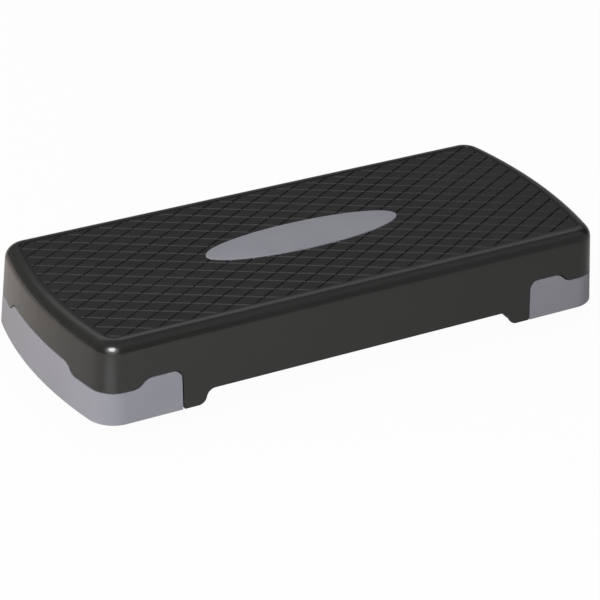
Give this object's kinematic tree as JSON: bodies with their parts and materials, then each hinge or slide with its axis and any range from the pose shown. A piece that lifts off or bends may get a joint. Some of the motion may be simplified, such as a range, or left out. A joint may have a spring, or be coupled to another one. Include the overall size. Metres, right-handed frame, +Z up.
{
  "type": "aerobic step platform",
  "caption": "Low exercise step with a grooved tread in a rounded rim, a drafted skirt arched along the long sides, and U-shaped end legs that swing under to raise it.",
  "frame": {"origin": "on the floor under the middle of the step, at the low setting", "axes": "+X along the step, +Y across it from front to rear, +Z up"},
  "size_m": [0.6748, 0.2866, 0.0966],
  "materials": {
    "shell_plastic": "satin black moulded plastic",
    "tread_rubber": "matt black moulded elastomer",
    "grey_plastic": "satin grey moulded plastic",
    "pin_steel": "plain turned steel",
    "clip_steel": "dark spring steel",
    "pad_rubber": "matt black rubber"
  },
  "bodies": {
    "platform": {"platform_shell": "shell_plastic", "tread_mat": "tread_rubber", "oval_insert": "grey_plastic", "insert_clips": "clip_steel", "left_front_hinge_pin": "pin_steel", "left_rear_hinge_pin": "pin_steel", "right_front_hinge_pin": "pin_steel", "right_rear_hinge_pin": "pin_steel", "left_front_pin_clip": "clip_steel", "left_rear_pin_clip": "clip_steel", "right_front_pin_clip": "clip_steel", "right_rear_pin_clip": "clip_steel"},
    "left_leg_unit": {"left_leg": "grey_plastic", "left_front_floor_pad": "pad_rubber", "left_rear_floor_pad": "pad_rubber", "left_end_floor_pad": "pad_rubber", "left_front_riser_pad": "pad_rubber", "left_rear_riser_pad": "pad_rubber", "left_end_riser_pad": "pad_rubber"},
    "right_leg_unit": {"right_leg": "grey_plastic", "right_front_floor_pad": "pad_rubber", "right_rear_floor_pad": "pad_rubber", "right_end_floor_pad": "pad_rubber", "right_front_riser_pad": "pad_rubber", "right_rear_riser_pad": "pad_rubber", "right_end_riser_pad": "pad_rubber"}
  },
  "joints": [
    {"name": "left_leg_hinge", "type": "hinge", "parent": "platform", "child": "left_leg_unit", "pos_m": [-0.204, 0, 0.0092], "axis": [0, -1, 0], "range_deg": [0, 180]},
    {"name": "right_leg_hinge", "type": "hinge", "parent": "platform", "child": "right_leg_unit", "pos_m": [0.204, 0, 0.0092], "axis": [0, 1, 0], "range_deg": [0, 180]}
  ]
}
